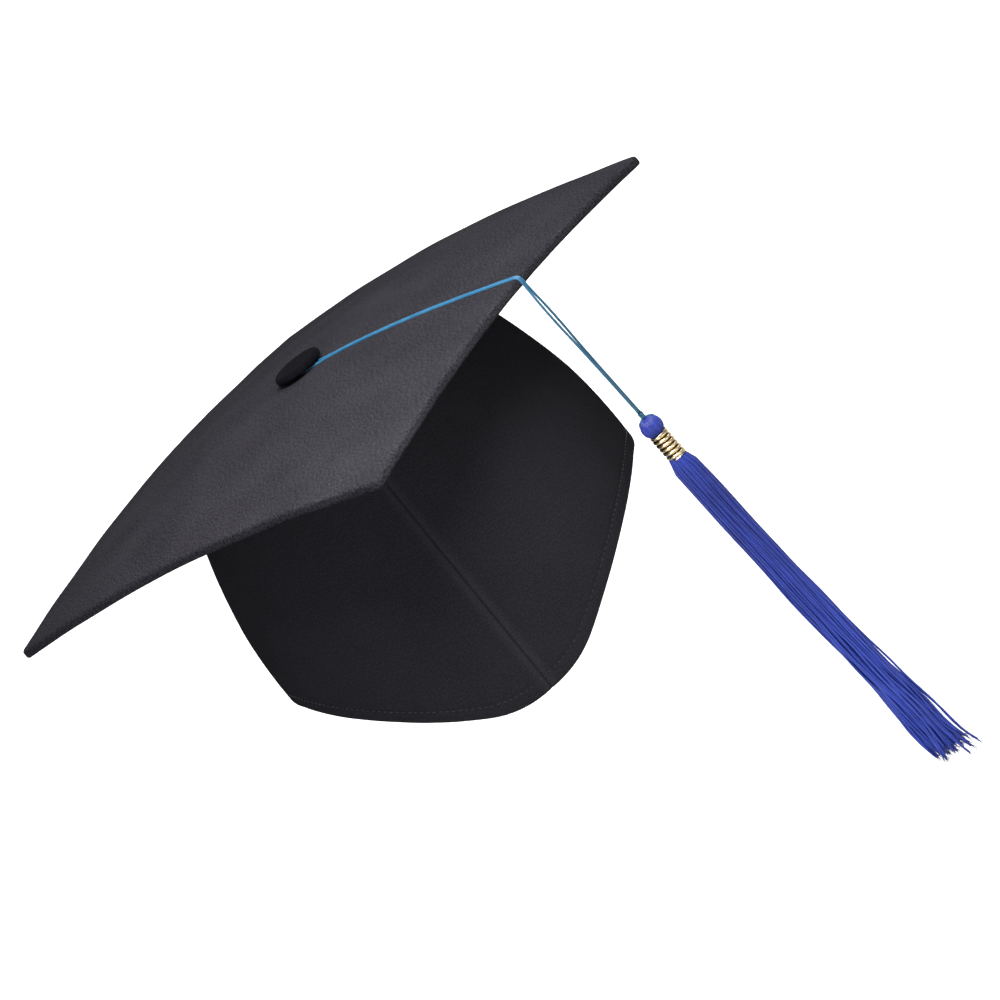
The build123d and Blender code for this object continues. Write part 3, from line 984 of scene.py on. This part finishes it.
def board_sheet(cells, inset, depth, edge_profile):
    """A domed square sheet, whose rim then follows a list of (inset, depth)."""
    corner = board_corner_radius
    core = board_half - corner

    def spread(share):
        centred = 2 * share - 1
        return (1 - (1 - abs(centred)) ** 1.5) * (1 if centred > 0 else -1)

    def nearest_core(vert):
        return Vector((max(-core, min(core, vert.co.x)), max(-core, min(core, vert.co.y))))

    def flat_place(u, v):
        a, b = spread(u), spread(v)
        ring = max(abs(a), abs(b))
        half = (board_half - inset) * ring
        round_off = max(corner - inset, 0.05) * ring
        long_side, short_side = half, min(abs(a), abs(b)) * (board_half - inset)
        if short_side > half - round_off and round_off > 0:
            bend = (short_side - (half - round_off)) / round_off * pi / 4
            long_side = half - round_off + round_off * cos(bend)
            short_side = half - round_off + round_off * sin(bend)
        across, up = (long_side, short_side) if abs(a) >= abs(b) else (short_side, long_side)
        x, y = across * (1 if a >= 0 else -1), up * (1 if b >= 0 else -1)
        return Vector((x, y, depth)), (x, y)

    mesh = surface(cells, cells, flat_place)
    cut = mesh.loops.layers.uv["cut"]
    cloth = {vert: Vector(vert.co.xy) for vert in mesh.verts}
    last = (inset, depth)
    for step in edge_profile:
        ring = [edge for edge in mesh.edges if edge.is_boundary]
        made = bmesh.ops.extrude_edge_only(mesh, edges=ring)["geom"]
        moved = [item for item in made if isinstance(item, bmesh.types.BMVert)]
        for vert in moved:
            outwards = (vert.co.xy - nearest_core(vert)).normalized()
            vert.co.x -= outwards.x * (step[0] - last[0])
            vert.co.y -= outwards.y * (step[0] - last[0])
            vert.co.z = step[1]
        travelled = abs(step[0] - inset) + abs(step[1] - depth)
        for vert in moved:
            nearest = nearest_core(vert)
            outwards = (vert.co.xy - nearest).normalized()
            cloth[vert] = nearest + outwards * (corner - inset + travelled)
        last = step
    for face in mesh.faces:
        for loop in face.loops:
            loop[cut].uv = cloth[loop.vert]
    turn = Matrix.Rotation(pi / 4, 4, "Z")
    bmesh.ops.transform(mesh, matrix=turn, verts=mesh.verts)
    for vert in mesh.verts:
        x, y = vert.co.xy
        vert.co.z = board_top_z - dome_drop(hypot(x, y)) - vert.co.z + board_ripple(x, y)
    return mesh


def make_board_cloths():
    """The top cloth wraps the board's edge and turns in below; the under cloth covers the turn-in."""
    turns = [radians(18 * step) for step in range(6)]
    edge = [(edge_top_round * (1 - sin(turn)), edge_top_round * (1 - cos(turn))) for turn in turns[1:]]
    low = board_thickness - edge_low_inset
    edge += [(0.0, (edge_top_round + low - edge_low_round) / 2)]
    edge += [(edge_low_round * (1 - cos(turn)), low - edge_low_round * (1 - sin(turn))) for turn in turns]
    edge += [(edge_hem_width, low)]
    top = board_sheet(104, edge_top_round, 0.0, edge)
    bmesh.ops.recalc_face_normals(top, faces=top.faces)
    top_cloth = piece("board_top_cloth", top, "polyester_poplin_board", "board_cloth", "cap",
                      ("board_top_cover", "board_edge_roll"), thickness=board_cloth_thickness)
    under = board_sheet(72, under_cloth_inset + 0.3, board_thickness, [
        (under_cloth_inset + 0.1, board_thickness - 0.1),
        (under_cloth_inset, board_thickness - edge_low_inset),
    ])
    bmesh.ops.reverse_faces(under, faces=under.faces)
    under_cloth = piece("board_under_cloth", under, "polyester_poplin_board", "board_cloth", "cap",
                        ("board_bottom_cover",), thickness=0.3)
    wrapped = 2 * (board_half + board_thickness + edge_hem_width) * MM
    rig.sheet(top_cloth, flat=(wrapped, wrapped), held="stretched", rests_on=["board_card"])
    side = 2 * (board_half - under_cloth_inset) * MM
    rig.sheet(under_cloth, flat=(side, side), held="stretched", rests_on=["board_card"])


# ---------------------------------------------------------------- the crown

def crown_radius(height, inset):
    """The wall is straight below the origin and leans in above it."""
    if height <= 0:
        return rim_radius - inset
    return rim_radius - crown_bulge_radius + sqrt((crown_bulge_radius - inset) ** 2 - height ** 2)


def rim_sag(x, y):
    """The soft rim has dropped a little below its cutting line, more on one side than the other."""
    share = min(1.0, abs(x) / rim_radius)
    fade = 1.0
    if y > 0:
        back = min(1.0, y / sag_end)
        fade = 1 - back * back * (3 - 2 * back)
        share = 1.0
    if x < 0:
        sag = left_sag[0] * sin(pi * share) + left_sag[1] * share ** 2
    else:
        sag = right_sag[0] * sin(pi * share) + right_sag[1] * share ** 3
    return (sag + peak_sag * (1 - share)) * fade


def rim_height(x, y):
    """The rim's height: a rounded peak in front, level behind, and the sag all round."""
    if y >= 0 or abs(x) >= rim_inner_radius:
        return -rim_sag(x, y)
    slope = atan2(peak_apex_drop, rim_inner_radius)
    reach = peak_tip_radius * sin(slope)
    if abs(x) > reach:
        return abs(x) * tan(slope) - peak_apex_drop - rim_sag(x, y)
    bend = sqrt(peak_tip_radius ** 2 - x * x)
    return peak_tip_radius / cos(slope) - peak_apex_drop - bend - rim_sag(x, y)


def front_keel(angle, height):
    """How far the front seam pushes the wall out, angle degrees round from it."""
    share = min(1.0, max(0.0, (height - keel_low) / keel_length))
    return keel_height * (1 - keel_fade * share) * exp(-abs(angle) / keel_spread)


def crown_point(turn, height, inset, give=1.0):
    """A point of the crown's wall: turn is in degrees from the front seam.

    give is how much of the wall's slow waves this layer follows."""
    bearing = radians(turn - 90)
    signed = (turn + 180) % 360 - 180
    size = crown_radius(height, inset) + front_keel(signed, height)
    low_down = min(1.0, max(0.0, (full_below - height) / full_rise))
    for middle, spread, pushed in full_places:
        size += pushed * exp(-((signed - middle) / spread) ** 2) * low_down
    away = Vector((cos(bearing), sin(bearing), 0))
    ripple = noise.noise(Vector((away.x * 2.1, away.y * 2.1, height / 52)))
    ripple += 0.35 * noise.noise(Vector((away.x * 5.5, away.y * 5.5, height / 23 + 5)))
    return away * (size + wall_ripple * give * ripple) + Vector((0, 0, height))


def crown_top(inset, depth):
    """The height at which the wall meets a layer under the board."""
    return board_top_z - depth - dome_drop(crown_top_radius - inset)


def wall_rows(share):
    """Rows crowd together towards the rim."""
    return 1 - (1 - share) ** 1.9


def crown_panel(side, inset, depth, rim_gap, fold=0.0, hem=0.0, columns=112, rows=56, grooves=0.0):
    """One half of a layer of the wall, from a seam in front to a seam behind.

    fold is the radius of the turned rim, hem the width turned up inside, and grooves how deep the
    stitches sink."""
    bends = 6 if fold else 0
    hem_rows = 4 if hem else 0
    total = rows + bends + hem_rows
    stitch_width, seam_width, seam_depth = 0.7, 0.8, 1.6

    def place(u, v):
        row = round(v * total)
        eased = 0.5 - 0.5 * cos(pi * u)
        turn = 180 * eased * side
        bearing = radians(turn - 90)
        edge_x = (rim_radius - inset) * cos(bearing)
        rim = rim_height(edge_x, rim_radius * sin(bearing)) + rim_gap
        top = crown_top(inset, depth)
        along = radians(180 * eased) * rim_radius
        from_seam = min(along, pi * rim_radius - along)
        push = 0.0
        if row <= rows:
            height = top + (rim + fold - top) * wall_rows(row / rows)
            point = crown_point(turn, height, inset)
            from_stitches = height - rim - hem_stitch_height
            push = -grooves * exp(-(from_stitches / stitch_width) ** 2)
            drop = top - height
        elif row <= rows + bends:
            bend = pi * (row - rows) / bends
            height = rim + fold - fold * sin(bend)
            point = crown_point(turn, height, inset + fold - fold * cos(bend))
            drop = top - rim + fold * bend
        else:
            climb = hem * (row - rows - bends) / hem_rows
            point = crown_point(turn, rim + fold + climb, inset + 2 * fold)
            drop = top - rim + fold * pi + climb
        push -= seam_depth * grooves * exp(-(from_seam / seam_width) ** 2)
        outwards = Vector((cos(bearing), sin(bearing), 0))
        return point + outwards * push, (along * side, -drop)

    mesh = surface(columns, total, place)
    bmesh.ops.recalc_face_normals(mesh, faces=mesh.faces)
    middle = Vector((0, 0, 40))

    def off_side(face):
        away = face.calc_center_median() - middle
        return abs(away.y) + abs(away.z)

    widest = min(mesh.faces, key=off_side)
    if widest.normal.dot(Vector((side, 0, 0))) < 0:
        bmesh.ops.reverse_faces(mesh, faces=mesh.faces)
    return mesh


def make_crown_wall():
    """Two cloth halves with a turned hem, each over its own buckram."""
    for side, name in ((1, "left"), (-1, "right")):
        cloth = crown_panel(side, inset=0.0, depth=board_thickness - 0.2, rim_gap=0.0,
                            fold=hem_fold_radius, hem=8.0, grooves=0.3)
        cut = piece("crown_cloth_panel_" + name, cloth, "polyester_poplin_crown", "crown_cloth", "cap",
                    ("crown_cloth_" + name,), thickness=crown_cloth_thickness - 0.1)
        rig.sheet(cut, flat=(0.3, 0.165), area=0.0395, held="stretched",
                 rests_on=["crown_buckram_" + name])
        stiff = crown_panel(side, inset=crown_cloth_thickness, depth=board_thickness + crown_cloth_thickness,
                            rim_gap=1.6, columns=80, rows=40)
        piece("crown_buckram_" + name, stiff, "starched_buckram", "stiffener", "cap",
              ("crown_interlining_" + name,), thickness=interlining_thickness - 0.5)


def make_hem_stitches():
    """Lockstitch round the rim: short stitches that sink into the cloth."""
    spacing, length, thick = 2.6, 2.0, 0.22
    mesh = bmesh.new()
    mesh.loops.layers.uv.new("cut")
    count = round(2 * pi * rim_radius / spacing)
    spots = []
    for number in range(count):
        turn = 360 * (number + 0.5) / count
        bearing = radians(turn - 90)
        rim = rim_height(rim_radius * cos(bearing), rim_radius * sin(bearing))
        spots.append(crown_point(turn, rim + hem_stitch_height, 0.2))
    for before, spot, after in zip([spots[-1], *spots[:-1]], spots, [*spots[1:], spots[0]]):
        along = (after - before).normalized()
        out = Vector((spot.x, spot.y, 0)).normalized()
        turn = Matrix((along, out.cross(along), out)).transposed().to_4x4()
        shape = Matrix.Translation(spot) @ turn @ Matrix.Diagonal((length / 2, thick, thick, 1))
        bmesh.ops.create_uvsphere(mesh, u_segments=6, v_segments=4, radius=1.0, matrix=shape)
    piece("hem_stitches", mesh, "black_sewing_thread", "crown_cloth", "cap")


def domed_disc(radius, depth):
    """A round layer under the board with a hole for the rivet."""
    def place(u, v):
        size = rivet_hole_radius + (radius - rivet_hole_radius) * v
        angle = 2 * pi * u
        point = Vector((size * cos(angle), size * sin(angle), board_top_z - depth - dome_drop(size)))
        return point, (point.x, point.y)

    mesh = surface(72, 24, place, closed=True)
    bmesh.ops.recalc_face_normals(mesh, faces=mesh.faces)
    return mesh


def make_crown_top():
    """The cloth and the stiffener that close the crown under the board."""
    panel = domed_disc(72.0, board_thickness)
    piece("crown_top_cloth", panel, "polyester_poplin_crown", "crown_cloth", "cap", ("crown_top_panel",),
          thickness=0.6)
    stiff = domed_disc(70.6, board_thickness + crown_cloth_thickness)
    piece("crown_top_buckram", stiff, "starched_buckram", "stiffener", "cap", ("crown_top_stiffener",),
          thickness=0.9)


def make_lining():
    """The lining is cut loose, so it lies in soft folds inside the buckram."""
    inset = crown_cloth_thickness + interlining_thickness
    depth = board_thickness + crown_cloth_thickness + interlining_thickness + 0.1
    top_radius = 69.9
    top_rows, wall_count, folds = 16, 48, 22
    total = top_rows + wall_count

    def place(u, v):
        row = round(v * total)
        turn = 360 * u
        bearing = radians(turn - 90)
        away = Vector((cos(bearing), sin(bearing), 0))
        slack = 0.35 + 0.35 * sin(turn / 360 * 2 * pi * folds + 2 * noise.noise(away * 2))
        if row <= top_rows:
            size = rivet_hole_radius + (top_radius - rivet_hole_radius) * row / top_rows
            height = board_top_z - depth - dome_drop(size) - 0.4 * slack * (size / top_radius) ** 3
            return away * size + Vector((0, 0, height)), (turn / 360 * 2 * pi * rim_radius, -size)
        share = (row - top_rows) / wall_count
        top = board_top_z - depth - dome_drop(top_radius)
        rim = rim_height((rim_radius - inset) * cos(bearing), rim_radius * sin(bearing)) + 2.4
        height = top + (rim - top) * share
        loose = inset + 0.15 + slack * (1 - share) * min(1.0, share * 8)
        point = crown_point(turn, height, loose, give=0.7)
        return point, (turn / 360 * 2 * pi * rim_radius, -top_radius - (top - height))

    mesh = surface(176, total, place, closed=True)
    bmesh.ops.recalc_face_normals(mesh, faces=mesh.faces)
    bmesh.ops.reverse_faces(mesh, faces=mesh.faces)
    lining = piece("lining_cup", mesh, "acetate_lining", "lining", "cap", ("crown_lining",), thickness=0.25)
    lining.modifiers["cloth"].offset = 1
    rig.sheet(lining, flat=(0.58, 0.21), area=0.078, held="gathered", rests_on=["crown_buckram_left"])


def rim_band(start, end, low, height, inset, thickness, columns, ripple):
    """A band along the inside of the rim, between two turns from the front seam.

    ripple(turn, up) is how far its face stands inwards at each place."""
    around = 28

    def place(u, v):
        turn = start + (end - start) * u
        bearing = radians(turn - 90)
        rim = rim_height((rim_radius - inset) * cos(bearing), rim_radius * sin(bearing)) + low
        half = thickness / 2
        angle = 2 * pi * v
        lift = sin(angle)
        up = rim + height / 2 + (height / 2) * lift
        belly = abs(cos(angle)) ** 0.35 * (1 if cos(angle) >= 0 else -1)
        deep = inset + half - half * belly + ripple(turn, up - rim)
        return crown_point(turn, up, deep, give=0.7), (turn / 360 * 2 * pi * rim_radius, v * 2 * height)

    mesh = surface(columns, around, place, closed=True)
    close_ends(mesh)
    return mesh


def make_bands():
    """A sweatband round the front and sides, and a gathered elastic behind."""
    reach = 138.0
    above_rim = 0.6
    band = rim_band(-reach, reach, above_rim, 31.0, band_inset, sweatband_thickness, 260,
                    lambda turn, up: 0.25 * noise.noise(Vector((turn / 9, up / 12, 0))))
    made = piece("leathercloth_sweatband", band, "embossed_leathercloth", "band", "cap", ("sweatband",))
    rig.sheet(made, flat=(0.455, 0.031), held="stretched", rests_on=["lining_cup"])
    elastic = rim_band(reach - 0.5, 360 - reach + 0.5, above_rim, 21.0, band_inset, 1.0, 150,
                       lambda turn, up: 0.28 * sin(turn * 4.6))
    made = piece("gathered_elastic", elastic, "ribbed_elastic", "elastic", "cap", ("rear_elastic",))
    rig.sheet(made, flat=(0.138, 0.021), held="stretched", rests_on=["lining_cup"])


# ---------------------------------------------------------------- the button

def make_button():
    """Cloth drawn over a pressed shell: flat on top, round at the edge and pleated underneath."""
    half = (button_high.z - button_low.z) / 2
    middle = (button_high.z + button_low.z) / 2
    flat = button_radius - half
    profile = [(0.0, half), (flat * 0.5, half), (flat * 0.8, half * 0.985)]
    for step in range(11):
        angle = radians(90 - 18 * step)
        profile.append((flat + half * cos(angle), half * sin(angle) * (0.985 if step == 0 else 1.0)))
    profile.append((button_mouth_radius, -half))
    steps, pleats, pleat_height, give = 96, 24, 0.12, 0.1
    mesh = bmesh.new()
    bends = [mesh.verts.new((x, 0, middle + z)) for x, z in profile]
    edges = [mesh.edges.new(pair) for pair in zip(bends, bends[1:])]
    bmesh.ops.spin(mesh, geom=bends + edges, cent=(0, 0, 0), axis=(0, 0, 1), dvec=(0, 0, 0),
                   angle=2 * pi, steps=steps, use_merge=True)
    bmesh.ops.remove_doubles(mesh, verts=mesh.verts, dist=1e-4)
    bmesh.ops.recalc_face_normals(mesh, faces=mesh.faces)
    for vert in mesh.verts:
        angle = atan2(vert.co.y, vert.co.x)
        under = max(0.0, (middle - vert.co.z) / half)
        vert.co.z += pleat_height * under * (0.5 + 0.5 * sin(pleats * angle))
        vert.co.z += give * noise.noise(Vector((vert.co.x / 5, vert.co.y / 5, 0))) * (1 - under)
    cut = mesh.loops.layers.uv.new("cut")
    for face in mesh.faces:
        for loop in face.loops:
            loop[cut].uv = loop.vert.co.xy
    piece("button_cover", mesh, "polyester_poplin_button", "button_cloth", "cap", ("button_cloth",),
          thickness=0.45)


# ---------------------------------------------------------------- carried-over nodes

def dress_nodes():
    """The hard pieces keep their shape and get their real materials."""
    finishes = {
        "board_card": "grey_millboard",
        "button_shell": "pressed_aluminium",
        "button_plate": "pressed_aluminium",
        "button_washer": "pressed_aluminium",
        "button_rivet": "plated_steel",
        "tassel_bead": "turned_beech",
        "tassel_binding": "navy_binding_thread",
    }
    for node, finish in finishes.items():
        for slot in frame["nodes"][node].material_slots:
            slot.material = bpy.data.materials[finish]


make_camera()
make_studio()
make_cloths()
make_millboard()
make_buckram()
make_leathercloth()
make_elastic()
make_threads()
make_metals()
make_wood()
make_cords()
make_tassel_loop()
make_head()
make_ferrule()
make_skirt()
make_board_cloths()
make_crown_wall()
make_hem_stitches()
make_crown_top()
make_lining()
make_bands()
make_button()
dress_nodes()

with open("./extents.json", "w") as sizes:
    json.dump({"cad": [list(c) for c in cad_box], "visual": [list(c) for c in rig.bounds()]}, sizes)
